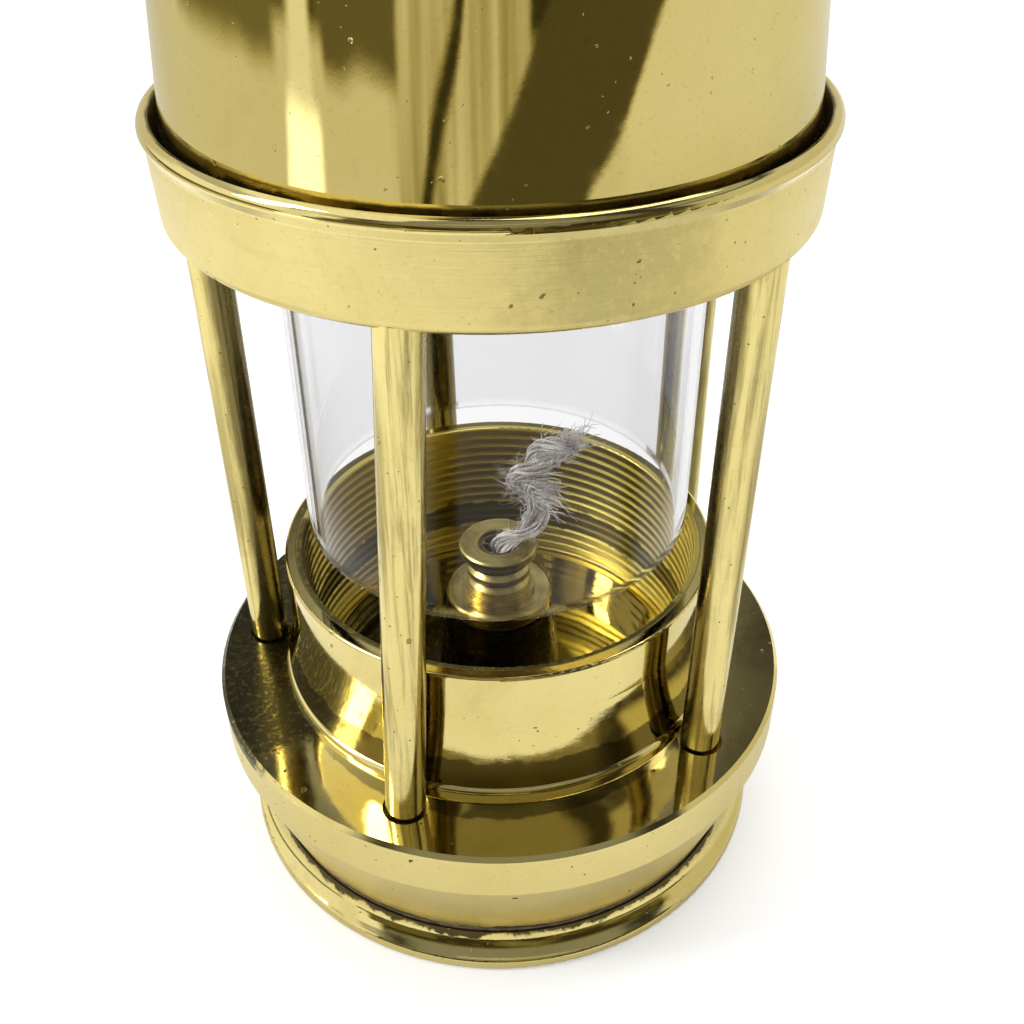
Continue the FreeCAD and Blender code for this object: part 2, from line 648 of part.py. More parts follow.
def make_crown():
    outer, low, gauge = size("crown_radius"), size("crown_bottom"), size("crown_sheet")
    rim, flat, middle = size("bonnet_top"), size("crown_flat"), size("crown_flat_radius")
    hole, dome = size("socket_spigot"), size("crown_dome")
    inner = bonnet_radius_at(low)
    blank = turned("crown_blank", [
        (inner, low), (outer, low), (outer, rim + gauge), (middle, flat, dome, 1), (hole, flat),
        (hole, flat - gauge), (middle, flat - gauge),
        (inner - size("crown_inset"), rim, dome - gauge, -1), (inner, rim)],
        rounds=(size("crown_round"), [(outer, rim + gauge)]))
    reach = outer + size("drill_over")
    holes = [cylinder("crown_screw_hole_%d" % number, size("screw_radius"), reach, place)
             for number, place in enumerate(crown_screw_placements())]
    keep("crown", cut_from("crown_cut", blank, holes))

    screws = []
    inside = bonnet_radius_at(size("crown_screw_height")) - size("bonnet_wall")
    for number, place in enumerate(crown_screw_placements()):
        length = outer - inside
        shank = cylinder("crown_shank_%d" % number, size("screw_radius"), length, place * raised(inside))
        head = cylinder("crown_head_%d" % number, size("screw_head_radius"), size("screw_head_height"),
                        place * raised(outer))
        screws.append(joined("crown_screw_%d" % number, [shank, head]))
    keep("crown_screws", grouped("crown_screws", screws))


def make_eye():
    flat, gauge, spigot = size("crown_flat"), size("crown_sheet"), size("socket_spigot")
    base, top, narrow = size("socket_radius"), size("socket_top"), size("socket_top_radius")
    shank = size("shank_radius")
    bore, foot = shank + size("shank_gap"), flat - size("socket_spigot_length")
    keep("eye_socket", turned("eye_socket", [
        (bore, foot), (spigot, foot), (spigot, flat), (base, flat), (base, flat + size("socket_step")),
        (narrow, top), (bore, top)]))

    gap = size("eye_float")
    nut_top = foot - gap
    nut_low = nut_top - size("eye_nut_height")
    collar_low = top + gap
    collar_top = collar_low + size("eye_collar_height")
    loop_low = size("eye_centre") - size("eye_radius")
    centre, stub = as_size(0), nut_low - size("shank_stub")
    stem = turned("eye_stem", [
        (centre, stub), (shank, stub), (shank, collar_low),
        (size("eye_collar_radius"), collar_low), (size("eye_collar_radius"), collar_top),
        (shank, collar_top), (shank, loop_low), (centre, loop_low)])
    loop = doc.addObject("Part::Torus", "eye_loop")
    loop.setExpression("Radius1", size("eye_radius").text)
    loop.setExpression("Radius2", shank.text)
    loop.Placement = FreeCAD.Placement(FreeCAD.Vector(0, 0, sheet.get("eye_centre")),
                                       FreeCAD.Rotation(FreeCAD.Vector(1, 0, 0), 90.0))
    keep("hanging_eye", joined("hanging_eye", [stem, loop]))
    keep("eye_nut", ring("eye_nut", shank, size("eye_nut_radius"), nut_low, nut_top))


def check_document():
    for item in doc.Objects:
        if "Invalid" in item.State or "Error" in item.State:
            raise RuntimeError("%s did not recompute: %s" % (item.Label, item.State))
    for label, piece in nodes.items():
        if piece.Shape.isNull() or not piece.Shape.isValid() or piece.Shape.Volume <= 0:
            raise RuntimeError(label + " has no valid solid")


def write_parts():
    os.makedirs("parts", exist_ok=True)
    for label, piece in nodes.items():
        piece.Shape.exportStep("parts/%s.step" % label)
        box = piece.Shape.BoundBox
        print("%-18s solids %d volume %9.1f z %6.1f to %6.1f" % (
            label, len(piece.Shape.Solids), piece.Shape.Volume, box.ZMin, box.ZMax))


fill_sheet()
make_font()
make_burner()
make_wick()
make_base()
make_pillars()
make_gallery()
make_glass()
make_bonnet()
make_crown()
make_eye()
doc.recompute()
check_document()
write_parts()
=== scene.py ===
import math
import random
from collections import namedtuple

import bpy
from mathutils import Matrix, Vector


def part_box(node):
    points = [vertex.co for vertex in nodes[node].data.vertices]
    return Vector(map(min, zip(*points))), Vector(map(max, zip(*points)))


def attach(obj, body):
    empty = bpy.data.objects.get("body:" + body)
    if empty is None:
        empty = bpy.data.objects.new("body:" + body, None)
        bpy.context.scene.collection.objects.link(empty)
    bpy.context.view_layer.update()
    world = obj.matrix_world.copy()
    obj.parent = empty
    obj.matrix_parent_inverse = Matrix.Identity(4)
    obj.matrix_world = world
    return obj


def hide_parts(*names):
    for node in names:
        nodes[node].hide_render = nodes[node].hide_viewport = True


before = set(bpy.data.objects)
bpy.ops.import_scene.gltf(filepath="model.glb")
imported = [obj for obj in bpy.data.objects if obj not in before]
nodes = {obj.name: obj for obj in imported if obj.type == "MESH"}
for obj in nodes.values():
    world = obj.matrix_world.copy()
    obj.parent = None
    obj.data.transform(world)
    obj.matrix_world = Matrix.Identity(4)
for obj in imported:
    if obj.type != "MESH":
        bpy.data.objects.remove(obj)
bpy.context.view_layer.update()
scene = bpy.context.scene
random.seed(7)

# The camera's place in metres, its angles in degrees and its focal length as a share of the
# sensor's width. It stands in front of the lantern and looks down at it.
EYE = (0.0, -0.1221, 0.1349)
PITCH, YAW, ROLL = 36.238, 0.848, -0.403
FOCAL_SHARE = 1.15990

WHITE = (1.0, 1.0, 1.0)
BRASS = (0.815, 0.690, 0.282)
BRASS_WARM = (0.775, 0.640, 0.240)
AGED = (0.46, 0.395, 0.195)
THREADED = (0.88, 0.73, 0.18)
STAIN = (0.47, 0.36, 0.11)
STREAK = (0.36, 0.28, 0.085)
LATHE_MARK = (0.36, 0.28, 0.08)
# Soot, also used as painted shade and painted dark reflection near the burner.
SOOT_AND_SHADE = (0.115, 0.088, 0.026)
# The colour of painted shade and painted dark reflection on the brass, laid on within a Stretch.
PAINTED_DARK = (0.075, 0.068, 0.036)
GRIME = (0.055, 0.040, 0.012)
PAPER_DARK = (0.77, 0.77, 0.77)
PAPER_PALE = (0.79, 0.79, 0.79)
TABLE_SHADOW = (0.10, 0.09, 0.05)
ROOM_TINT = (1.0, 0.87, 0.38)

# A crease where old polish has gone black: heights, outermost distance from the axis, strength.
Crease = namedtuple("Crease", "low high outer strength")
# A stretch of brass painted darker as painted shade and painted dark reflection: turn in degrees from the
# front towards +X, distances from the axis, lowest height, strength.
Stretch = namedtuple("Stretch", "turn_from turn_to inmost outmost low strength")

# A band or crease fades over this many metres on each side of its edge.
BAND_EDGE = 0.0002


# ---------------------------------------------------------------- node helpers

class Nodes:
    """A short way to write a shader: add makes a node, plug fills a socket, the rest return an output."""

    def __init__(self, tree):
        self.tree = tree
        self.tree.nodes.clear()

    def add(self, kind, inputs=None, **settings):
        node = self.tree.nodes.new("ShaderNode" + kind)
        for name, value in settings.items():
            setattr(node, name, value)
        for name, value in (inputs or {}).items():
            self.plug(node.inputs[name], value)
        return node

    def plug(self, socket, value):
        if isinstance(value, bpy.types.NodeSocket):
            self.tree.links.new(value, socket)
        elif isinstance(value, bpy.types.Node):
            self.tree.links.new(value.outputs[0], socket)
        else:
            socket.default_value = value

    def math(self, operation, first, second=0.0):
        return self.add("Math", {0: first, 1: second}, operation=operation).outputs[0]

    def plus(self, first, second):
        return self.math("ADD", first, second)

    def times(self, first, *others):
        """The product of all the values."""
        for other in others:
            first = self.math("MULTIPLY", first, other)
        return first

    def spread(self, value, low, high, start=0.0, end=1.0, smooth=True):
        """value mapped from low..high onto start..end, clamped."""
        kind = "SMOOTHSTEP" if smooth else "LINEAR"
        node = self.add("MapRange", {0: value, 1: low, 2: high, 3: start, 4: end}, interpolation_type=kind)
        return node.outputs[0]

    def between(self, value, low, high, edge):
        """1 where value lies between low and high, fading to 0 across each of them."""
        above = self.spread(value, low - edge, low + edge)
        below = self.spread(value, high - edge, high + edge, 1.0, 0.0)
        return self.times(above, below)

    def blend(self, share, first, second, kind="MIX"):
        node = self.add("Mix", data_type="RGBA", blend_type=kind, clamp_factor=True)
        self.plug(node.inputs[0], share)
        self.plug(node.inputs[6], first)
        self.plug(node.inputs[7], second)
        return node.outputs[2]

    def noise(self, where, scale, detail=3.0, rough=0.55, distortion=0.0):
        node = self.add("TexNoise", {"Vector": where, "Scale": scale, "Detail": detail,
                                     "Roughness": rough, "Distortion": distortion})
        return node.outputs[0]

    def stretched(self, where, scales):
        return self.add("Mapping", {"Vector": where, "Scale": scales}).outputs[0]

    def bump(self, height, distance, strength=1.0, normal=None):
        inputs = {"Height": height, "Distance": distance, "Strength": strength}
        if normal is not None:
            inputs["Normal"] = normal
        return self.add("Bump", inputs).outputs[0]


def rgba(colour):
    return (colour[0], colour[1], colour[2], 1.0)


def new_material(name):
    material = bpy.data.materials.new(name)
    material.use_nodes = True
    net = Nodes(material.node_tree)
    shader = net.add("BsdfPrincipled")
    output = net.add("OutputMaterial")
    material.node_tree.links.new(shader.outputs[0], output.inputs[0])
    return material, net, shader


# ---------------------------------------------------------------- brass

def ring_of(net, split):
    """Distance from the lantern's axis at each place."""
    x, y = split.outputs[0], split.outputs[1]
    return net.math("SQRT", net.plus(net.times(x, x), net.times(y, y)))


def turn_of(net, split):
    """Degrees round the lantern's axis at each place, from the front (-Y) towards +X."""
    forward = net.times(split.outputs[1], -1.0)
    return net.times(net.math("ARCTAN2", split.outputs[0], forward), 180.0 / math.pi)


def pitting(net, where, scale, share):
    """Small irregular pits: 1 in a pit, 0 outside it. share is how many of the cells have one."""
    warp = net.add("TexNoise", {"Vector": where, "Scale": scale * 2.2, "Detail": 2.0})
    shift = net.add("VectorMath", {0: warp.outputs["Color"], 1: (0.5, 0.5, 0.5)}, operation="SUBTRACT")
    shrunk = net.add("VectorMath", {0: shift, "Scale": 0.55 / scale}, operation="SCALE")
    bent = net.add("VectorMath", {0: where, 1: shrunk}, operation="ADD")
    cells = net.add("TexVoronoi", {"Vector": bent, "Scale": scale, "Randomness": 1.0})
    pick = net.add("SeparateColor", {0: cells.outputs["Color"]}).outputs[0]
    size = net.spread(pick, 1.0 - share, 1.0, 0.0, 0.30, smooth=False)
    return net.spread(net.math("SUBTRACT", size, cells.outputs["Distance"]), 0.0, 0.06)


def streaked(net, where, strength):
    """Tarnish that runs up and down the piece."""
    runs = net.noise(net.stretched(where, (1500.0, 1500.0, 55.0)), 1.0, 4.0, 0.65, 0.4)
    return net.times(net.spread(runs, 0.46, 0.68), strength)


def soot_and_shade(net, where, ring, reach):
    """Darker within reach of the axis, patchy at its edge: soot on the pillars and the wick tube, painted
    shade and painted dark reflection on the burner's boss and the font's dish.
    """
    patchy = net.noise(net.stretched(where, (700.0, 700.0, 120.0)), 1.0, 4.0, 0.65)
    rough_ring = net.plus(ring, net.times(patchy, 0.0012))
    return net.spread(rough_ring, reach - 0.0004, reach + 0.0009, 0.85, 0.0)


def painted_dark_stretch(net, where, split, ring, stretch):
    """Painted shade and painted dark reflection within a Stretch, whose ends wander. A fainter one fades
    more slowly.
    """
    wander = 26.0
    edge = 2.0 + 10.0 * (1.0 - stretch.strength)
    turn = net.plus(turn_of(net, split), net.times(net.noise(where, 240.0, 5.0, 0.7), wander))
    specks = net.spread(net.noise(where, 1500.0, 4.0, 0.7), 0.50, 0.66,
                        stretch.strength, stretch.strength * 0.65)
    return net.times(net.between(turn, stretch.turn_from + wander / 2, stretch.turn_to + wander / 2, edge),
                     net.spread(ring, stretch.inmost, stretch.inmost + 0.0006),
                     net.spread(ring, stretch.outmost - 0.0001, stretch.outmost, 1.0, 0.0),
                     net.spread(split.outputs[2], stretch.low, stretch.low + BAND_EDGE),
                     specks)


def grimy(net, where, split, ring, crease):
    """Black old polish in a Crease, ragged along its edges."""
    ragged = net.times(net.math("SUBTRACT", net.noise(where, 260.0, 5.0, 0.7), 0.5), 0.0030)
    inside = net.spread(net.plus(ring, net.times(ragged, 0.2)),
                        crease.outer - 0.00015, crease.outer + 0.00015, 1.0, 0.0)
    level = net.plus(split.outputs[2], ragged)
    return net.times(inside, net.between(level, crease.low, crease.high, BAND_EDGE), crease.strength)


def marked(net, base, roughness, share, colour, roughening):
    """The base colour and roughness with a mark over them as strong as share."""
    base = net.blend(share, base, rgba(colour))
    return base, net.plus(roughness, net.times(share, roughening))


def brass(name, rough=0.07, waviness=0.35, pits=0.6, tarnish=0.3, brushed=0.0, satin_band=None,
          grime=(), streaky=0.0, soot_and_shade_reach=None, dull=0.0, lathe_within=None, painted_dark=None):
    """Hand-polished brass. satin_band is (low z, high z) of a stretch left brushed, or None for all of it.

    grime lists the Creases. streaky is how strongly tarnish runs up and down the piece, and
    soot_and_shade_reach the distance from the axis within which it is darkened: by soot on the pillars and
    the wick tube, as painted shade and painted dark reflection on the font's dish and the burner's boss.
    dull is how far it has lost its polish all over. lathe_within is the distance from the axis within
    which turning marks were left. painted_dark is a Stretch of painted shade and painted dark reflection."""
    material, net, shader = new_material(name)
    where = net.add("TexCoord").outputs["Object"]
    split = net.add("SeparateXYZ", {0: where})
    ring = ring_of(net, split)
    fine = net.noise(where, 520.0, 5.0, 0.7)
    tarnished = net.spread(net.noise(where, 95.0, 5.0, 0.7, 0.6), 0.52, 0.78)
    pit = net.times(net.math("MAXIMUM", pitting(net, where, 760.0, 0.05),
                             pitting(net, where, 1900.0, 0.06)), pits)

    cloud = net.noise(where, 55.0, 4.0, 0.6)
    mottle = net.spread(net.noise(where, 2300.0, 3.0, 0.6), 0.56, 0.76)
    base = net.blend(net.spread(cloud, 0.30, 0.70), rgba(BRASS), rgba(BRASS_WARM))
    base = net.blend(dull, base, rgba(AGED))
    base = net.blend(net.times(tarnished, tarnish), base, rgba(STAIN))
    base = net.blend(net.times(mottle, 0.30), base, rgba(STAIN))
    base = net.blend(pit, base, rgba(GRIME))

    turned = net.noise(net.stretched(where, (90.0, 90.0, 5200.0)), 1.0, 2.0, 0.6)
    brushing = brushed
    if satin_band:
        brushing = net.times(net.between(split.outputs[2], *satin_band, BAND_EDGE), brushed)
    if lathe_within:
        inner = net.spread(ring, lathe_within - 0.0001, lathe_within + 0.0001, 1.0, 0.0)
        brushing = net.math("MAXIMUM", brushing, inner)
        base = net.blend(net.times(inner, 0.85), base, rgba(THREADED))

    roughness = net.spread(fine, 0.35, 0.75, rough * 0.7, rough * 1.5)
    roughness = net.plus(roughness, net.times(tarnished, 0.10 * tarnish + 0.02))
    roughness = net.plus(roughness, net.times(pit, 0.35))
    roughness = net.plus(roughness, net.times(brushing, 0.22))
    roughness = net.plus(roughness, net.times(brushing, turned, 0.14))
    if streaky:
        base, roughness = marked(net, base, roughness, streaked(net, where, streaky), STREAK, 0.16)
    # Soot, and painted shade and painted dark reflection where this reach covers the font's dish and the
    # burner's boss.
    if soot_and_shade_reach:
        base, roughness = marked(net, base, roughness, soot_and_shade(net, where, ring, soot_and_shade_reach), SOOT_AND_SHADE, 0.12)
    # Painted shade and painted dark reflection within a Stretch.
    if painted_dark:
        patch = painted_dark_stretch(net, where, split, ring, painted_dark)
        base, roughness = marked(net, base, roughness, patch, PAINTED_DARK, 0.16)
    for crease in grime:
        dirt = grimy(net, where, split, ring, crease)
        roughening = max(0.0, crease.strength - 0.70) * 1.3
        base, roughness = marked(net, base, roughness, dirt, GRIME, roughening)

    normal = net.bump(net.noise(where, 38.0, 2.0, 0.5), 0.00035, waviness)
    normal = net.bump(net.noise(where, 150.0, 2.0, 0.5), 0.00004, waviness, normal)
    normal = net.bump(fine, 0.000010, min(0.5, waviness * 1.4), normal)
    normal = net.bump(pit, -0.00005, 1.0, normal)
    normal = net.bump(net.times(turned, brushing), 0.00002, 0.8, normal)

    shader.inputs["Metallic"].default_value = 1.0
    net.plug(shader.inputs["Base Color"], base)
    net.plug(shader.inputs["Roughness"], roughness)
    net.plug(shader.inputs["Normal"], normal)
    return material


def lathe_brass(name, rough=0.30):
    """Brass straight off the lathe: fine rings round the axis on walls and faces alike."""
    material, net, shader = new_material(name)
    where = net.add("TexCoord").outputs["Object"]
    split = net.add("SeparateXYZ", {0: where})
    across = net.add("CombineXYZ", {0: ring_of(net, split), 2: split.outputs[2]}).outputs[0]
    rings = net.noise(across, 2600.0, 4.0, 0.7)
    cloud = net.noise(where, 300.0, 4.0, 0.65)
    base = net.blend(net.spread(cloud, 0.35, 0.68), rgba(BRASS_WARM), rgba(STAIN))
    base = net.blend(net.times(net.spread(rings, 0.45, 0.75), 0.55), base, rgba(LATHE_MARK))
    shader.inputs["Metallic"].default_value = 1.0
    net.plug(shader.inputs["Base Color"], base)
    net.plug(shader.inputs["Roughness"], net.spread(rings, 0.3, 0.7, rough * 0.75, rough * 1.3))
    net.plug(shader.inputs["Normal"], net.bump(rings, 0.00003, 0.9))
    return material


def glass_material():
    """Clear glass, lightly smeared and fading at its lower edge. Its shadow lets most light through."""
    material, net, shader = new_material("lamp_glass")
    where = net.add("TexCoord").outputs["Object"]
    shader.inputs["Base Color"].default_value = (0.86, 0.86, 0.87, 1.0)
    shader.inputs["Specular IOR Level"].default_value = 0.3
    shader.inputs["Transmission Weight"].default_value = 1.0
    shader.inputs["IOR"].default_value = 1.22
    smear = net.noise(net.stretched(where, (30.0, 30.0, 12.0)), 2.0, 4.0, 0.6)
    net.plug(shader.inputs["Roughness"], net.spread(smear, 0.45, 0.75, 0.0, 0.02))
    height = net.add("SeparateXYZ", {0: where}).outputs[2]
    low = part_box("glass")[0].z
    edge = net.spread(height, low + 0.0003, low + 0.0012, 0.30, 1.0)
    shadow = net.add("LightPath").outputs["Is Shadow Ray"]
    clear = net.math("SUBTRACT", 1.0, net.times(shadow, 0.85))
    net.plug(shader.inputs["Alpha"], net.times(edge, clear))
    net.plug(shader.inputs["Normal"], net.bump(net.noise(where, 45.0, 2.0), 0.00012, 0.25))
    return material


def cotton_material(name, tone=1.0):
    """Greyed cotton with darker patches of painted shade and pale flecks of painted highlight on single
    hairs. tone makes all of it paler or darker.
    """
    def toned(red, green, blue):
        return rgba((red * tone, green * tone, blue * tone))

    material, net, shader = new_material(name)
    where = net.add("TexCoord").outputs["Object"]
    # Darker patches paint shade on the wick; pale flecks paint highlights on single hairs.
    patch = net.noise(where, 360.0, 4.0, 0.6)
    hair = net.noise(where, 5200.0, 2.0, 0.6)
    base = net.blend(net.spread(patch, 0.40, 0.62), toned(0.96, 0.92, 0.86), toned(0.38, 0.33, 0.30))
    base = net.blend(net.spread(hair, 0.40, 0.72), base, toned(0.97, 0.94, 0.89))
    net.plug(shader.inputs["Base Color"], base)
    shader.inputs["Roughness"].default_value = 0.85
    shader.inputs["Sheen Weight"].default_value = 0.4
    net.plug(shader.inputs["Normal"], net.bump(hair, 0.00005, 0.7))
    return material


def grained_material(name, colour, scale):
    """Pressed fibre or cork: grains of colour between darker ones."""
    material, net, shader = new_material(name)
    where = net.add("TexCoord").outputs["Object"]
    grain = net.noise(where, scale, 5.0, 0.65)
    dark = tuple(channel * 0.45 for channel in colour)
    base = net.blend(net.spread(grain, 0.35, 0.65), rgba(dark), rgba(colour))
    net.plug(shader.inputs["Base Color"], base)
    net.plug(shader.inputs["Roughness"], net.spread(grain, 0.3, 0.7, 0.75, 0.95))
    net.plug(shader.inputs["Normal"], net.bump(grain, 0.0001, 0.6))
    return material


def dress(material, *names):
    """Give these CAD pieces this material."""
    for name in names:
        mesh = nodes[name].data
        mesh.materials.clear()
        mesh.materials.append(material)


def smooth_cad():
    """Turned faces shade as the curved surfaces they stand for."""
    for node in nodes.values():
        node.data.shade_smooth()
        node.data.set_sharp_from_angle(angle=math.radians(28.0))


# ---------------------------------------------------------------- wick

# The wick's middle line in metres, from its frayed tip down through the burner to the font's floor.
WICK_ROUTE = (
    (0.0090, 0.0, 0.0562), (0.0050, 0.0003, 0.0538), (0.0020, 0.0004, 0.0502), (0.0056, 0.0, 0.0464),
    (0.0040, -0.0002, 0.0428), (0.0, 0.0, 0.0404), (0.00012, 0.0001, 0.0344), (-0.00012, -0.0001, 0.0270),
    (0.0001, 0.0001, 0.0190), (0.0, 0.0, 0.0115), (0.0028, 0.0005, 0.0066), (0.0076, 0.0016, 0.0038),
    (0.0129, 0.0037, 0.0036), (0.0169, 0.0070, 0.0036),
)


def route_line(points):
    """Points along the smooth line that has these control points."""
    curve = bpy.data.curves.new("wick_line", "CURVE")
    curve.dimensions = "3D"
    spline = curve.splines.new("NURBS")
    spline.points.add(len(points) - 1)
    for point, spot in zip(spline.points, points):
        point.co = (*spot, 1.0)
    spline.order_u = 3
    spline.use_endpoint_u = True
    spline.resolution_u = 18
    holder = bpy.data.objects.new("wick_line", curve)
    scene.collection.objects.link(holder)
    mesh = bpy.data.meshes.new_from_object(holder)
    line = [vertex.co.copy() for vertex in mesh.vertices]
    bpy.data.objects.remove(holder)
    return line


def frames_along(line):
    """Two directions across the line at each point, carried along without twisting."""
    across = Vector((0.0, 1.0, 0.0))
    frames = []
    for index in range(len(line)):
        ahead = (line[min(index + 1, len(line) - 1)] - line[max(index - 1, 0)]).normalized()
        across = (across - ahead * across.dot(ahead)).normalized()
        frames.append((across.copy(), ahead.cross(across)))
    return frames


def outward(across_pair, turn):
    """The direction across the line at this angle round it."""
    across, other = across_pair
    return across * math.cos(turn) + other * math.sin(turn)


class TubeSet:
    """Many thin tubes gathered into one mesh."""

    def __init__(self):
        self.verts, self.faces = [], []

    def add(self, line, radii, sides=6):
        start = len(self.verts)
        for spot, radius, (across, other) in zip(line, radii, frames_along(line)):
            for side in range(sides):
                turn = 2.0 * math.pi * side / sides
                sideways, upward = radius * math.cos(turn), radius * math.sin(turn)
                self.verts.append(spot + across * sideways + other * upward)
        rows = len(line)
        for row in range(rows - 1):
            for side in range(sides):
                low = start + row * sides
                nxt = (side + 1) % sides
                self.faces.append((low + side, low + nxt, low + sides + nxt, low + sides + side))
        self.faces.append(tuple(start + side for side in reversed(range(sides))))
        self.faces.append(tuple(start + (rows - 1) * sides + side for side in range(sides)))

    def make(self, name, material):
        mesh = bpy.data.meshes.new(name)
        mesh.from_pydata(self.verts, [], self.faces)
        mesh.materials.append(material)
        mesh.shade_smooth()
        piece = bpy.data.objects.new(name, mesh)
        scene.collection.objects.link(piece)
        return piece


PLIES, STRANDS = 2, 20
# Metres of wick in which a ply or a strand goes once round.
PLY_LAY, STRAND_LAY = 0.0118, 0.0170
# How far a ply is from the wick's line, and a ply's outer strands from the ply's.
PLY_REACH, STRAND_REACH = 0.00080, 0.00066
# How far the wick opens at its burnt tip, as a share, and the metres over which it does.
TIP_SLACK, SLACK_LENGTH = 0.50, 0.012


def strand_line(line, frames, lengths, ply, strand):
    """One strand: it winds round its ply, which winds round the wick's own line."""
    depth = random.choice((0.35, 0.75, 1.0, 1.0))
    phase, speed = random.uniform(0.0, 6.28), random.uniform(500.0, 1100.0)
    spots = []
    for spot, across_pair, gone in zip(line, frames, lengths):
        slack = 1.0 + TIP_SLACK * max(0.0, 1.0 - gone / SLACK_LENGTH)
        ply_turn = 2.0 * math.pi * (ply / PLIES + gone / PLY_LAY)
        centre = spot + outward(across_pair, ply_turn) * (PLY_REACH * slack)
        strand_turn = 2.0 * math.pi * (strand / STRANDS + gone / STRAND_LAY)
        strand_turn += 0.25 * math.sin(gone * speed + phase)
        reach = STRAND_REACH * slack * depth * (1.0 + 0.14 * math.sin(gone * speed * 1.3 + phase))
        spots.append(centre + outward(across_pair, strand_turn) * reach)
    return spots


def make_wick():
    line = route_line(WICK_ROUTE)
    frames = frames_along(line)
    lengths = [0.0]
    for before, after in zip(line, line[1:]):
        lengths.append(lengths[-1] + (after - before).length)
    yarn = TubeSet()
    for ply in range(PLIES):
        for strand in range(STRANDS):
            spots = strand_line(line, frames, lengths, ply, strand)
            thick = random.uniform(0.00010, 0.00016)
            radii = [thick * (1.0 + 0.15 * math.sin(gone * 2600.0 + strand)) for gone in lengths]
            yarn.add(spots, radii, sides=5)
    wick = yarn.make("wick_yarn", cotton_material("wick_cotton"))
    fray = make_fray(line, frames, lengths)
    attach(wick, "burner")
    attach(fray, "burner")
    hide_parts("wick")


def wavy(start, heading, bend, reach, steps, wander):
    """A loose fibre's line from start: it sets off along heading and drifts towards bend."""
    phase = [random.uniform(0.0, 6.28) for _ in range(3)]
    spots = []
    for step in range(steps + 1):
        share = step / steps
        sway = Vector((math.sin(share * 7.0 + phase[0]), math.sin(share * 6.0 + phase[1]),
                       math.sin(share * 8.0 + phase[2])))
        spots.append(start + heading * (reach * share) + bend * (reach * share * share)
                     + sway * (wander * share))
    return spots


def scattered(size):
    return Vector((random.gauss(0.0, size), random.gauss(0.0, size), random.gauss(0.0, size)))


TIP_HAIRS, TUFT_HAIRS, BACK_HAIRS, STRAY_HAIRS = 150, 70, 60, 230
# Where the side tuft leaves the wick and how far down stray hairs are found, in metres from the tip.
TUFT = (0.0075, 0.0115)
STRAY = (0.002, 0.0235)


def make_fray(line, frames, lengths):
    """Loose fibres: a brush at the wick's tip, a side tuft and stray hairs along its free length."""
    fibres = TubeSet()

    def place_at(gone):
        return min(range(len(lengths)), key=lambda place: abs(lengths[place] - gone))

    def hair(start, heading, bend, reach, thickness, wander):
        steps = 10
        spots = wavy(start, heading, bend, reach, steps, wander)
        radii = [thickness * (1.0 - 0.55 * step / steps) for step in range(steps + 1)]
        fibres.add(spots, radii, sides=4)

    tip_heading = (line[0] - line[place_at(0.005)]).normalized()
    for _ in range(TIP_HAIRS):
        start = line[place_at(random.uniform(0.0, 0.0060))] + scattered(0.0008)
        hair(start, (tip_heading + scattered(0.20)).normalized(), scattered(0.35),
             random.uniform(0.0014, 0.0034), random.uniform(0.00004, 0.00011), 0.00022)
    for _ in range(TUFT_HAIRS):
        start = line[place_at(random.uniform(*TUFT))] + scattered(0.0005)
        heading = Vector((1.0, random.uniform(-0.5, 0.0), random.uniform(-0.35, 0.45))).normalized()
        bend = Vector((0.0, random.uniform(-0.25, 0.10), random.uniform(-0.45, 0.10)))
        hair(start, heading, bend, random.uniform(0.0030, 0.0066),
             random.uniform(0.00005, 0.00015), 0.00030)
    for _ in range(BACK_HAIRS):
        start = line[place_at(random.uniform(*TUFT))] + scattered(0.0005)
        heading = Vector((-1.0, random.uniform(-0.3, 0.3), random.uniform(-0.15, 0.5))).normalized()
        hair(start, heading, scattered(0.4), random.uniform(0.0010, 0.0026), 0.00004, 0.00020)
    for _ in range(STRAY_HAIRS):
        index = place_at(random.uniform(*STRAY))
        out = outward(frames[index], random.uniform(0.0, 2.0 * math.pi))
        along = (line[max(index - 1, 0)] - line[index + 1]).normalized()
        heading = (out * random.uniform(0.2, 0.7) + along * random.uniform(-1.0, 1.0)).normalized()
        hair(line[index] + out * 0.0013, heading, scattered(0.5), random.uniform(0.0006, 0.0018),
             0.000035, 0.00015)
    return fibres.make("wick_fray", cotton_material("wick_fibre", 1.08))


# ---------------------------------------------------------------- studio

def make_camera():
    camera = bpy.data.cameras.new("camera")
    camera.lens = camera.sensor_width * FOCAL_SHARE
    camera.clip_start = 0.005
    pitch, yaw, roll = (math.radians(angle) for angle in (PITCH, YAW, ROLL))
    ahead = Vector((math.sin(yaw) * math.cos(pitch), math.cos(yaw) * math.cos(pitch), -math.sin(pitch)))
    level = Vector((math.cos(yaw), -math.sin(yaw), 0.0))
    upright = level.cross(ahead)
    right = level * math.cos(roll) + upright * math.sin(roll)
    up = upright * math.cos(roll) - level * math.sin(roll)
    turn = Matrix((right, up, -ahead)).transposed()
    eye = bpy.data.objects.new("camera", camera)
    eye.matrix_world = Matrix.Translation(EYE) @ turn.to_4x4()
    scene.collection.objects.link(eye)
    scene.camera = eye


def disc(name, inner, outer, material):
    """A flat ring of floor, open in the middle when inner is above zero."""
    steps = 96
    verts, faces = [], []
    for step in range(steps):
        turn = 2.0 * math.pi * step / steps
        for radius in (inner, outer):
            verts.append((radius * math.cos(turn), radius * math.sin(turn), 0.0))
    for step in range(steps):
        low, nxt = 2 * step, 2 * ((step + 1) % steps)
        faces.append((low, low + 1, nxt + 1, nxt))
    mesh = bpy.data.meshes.new(name)
    mesh.from_pydata(verts, [], faces)
    mesh.materials.append(material)
    piece = bpy.data.objects.new(name, mesh)
    scene.collection.objects.link(piece)
    return piece


